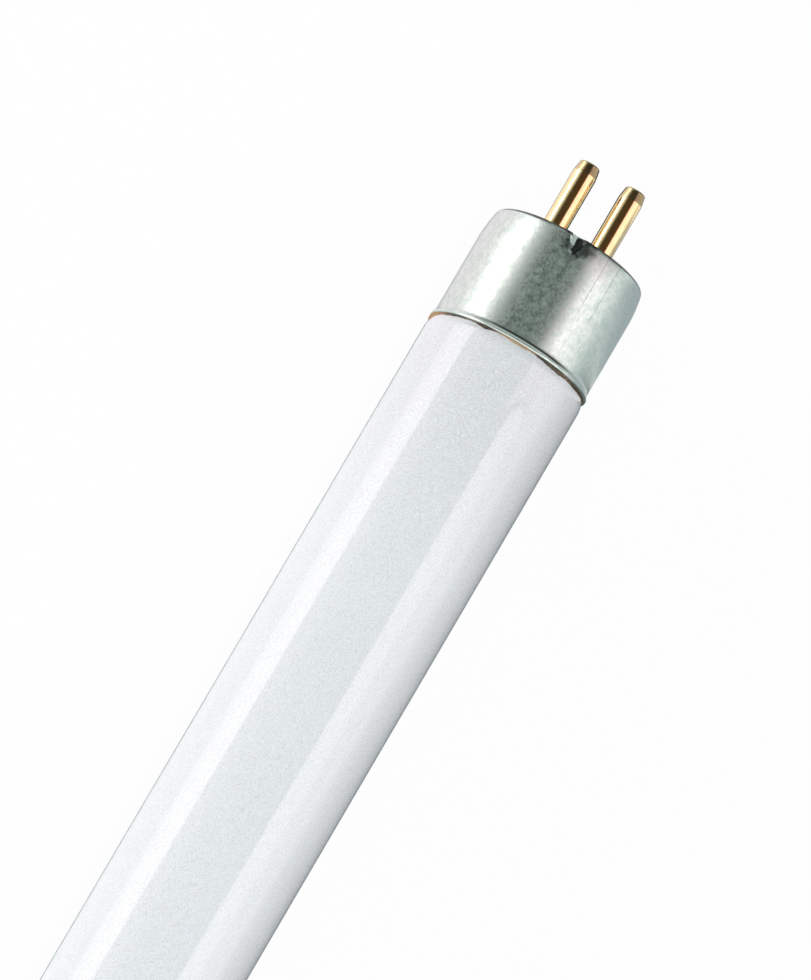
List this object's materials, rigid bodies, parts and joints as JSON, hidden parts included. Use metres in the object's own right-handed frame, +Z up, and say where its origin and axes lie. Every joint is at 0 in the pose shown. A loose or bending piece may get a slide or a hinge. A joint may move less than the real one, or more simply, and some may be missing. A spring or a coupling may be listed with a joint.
{
  "type": "fluorescent tube",
  "caption": "Straight fluorescent lamp: a slim white-coated glass tube with an aluminium cap at each end and brass pins that plug into lampholders.",
  "frame": {"origin": "middle of the lamp, on the tube's axis", "axes": "+X along the tube towards the cap that the picture shows, Y across the pins of a cap, +Z up"},
  "size_m": [0.3024, 0.0162, 0.0162],
  "materials": {
    "coated_glass": "polished glass over an opaque white coating",
    "cap_metal": "drawn, finely mottled",
    "cap_cement": "matt, uneven",
    "cap_insulator": "moulded, very dark brown",
    "pin_metal": "polished",
    "lead_metal": "drawn wire"
  },
  "bodies": {
    "root": {"glass_tube": "coated_glass", "right_cap_shell": "cap_metal", "left_cap_shell": "cap_metal", "right_cement_ring": "cap_cement", "left_cement_ring": "cap_cement", "right_insulating_disc": "cap_insulator", "left_insulating_disc": "cap_insulator", "right_front_pin": "pin_metal", "right_rear_pin": "pin_metal", "left_front_pin": "pin_metal", "left_rear_pin": "pin_metal", "right_front_lead": "lead_metal", "right_rear_lead": "lead_metal", "left_front_lead": "lead_metal", "left_rear_lead": "lead_metal"}
  },
  "joints": []
}
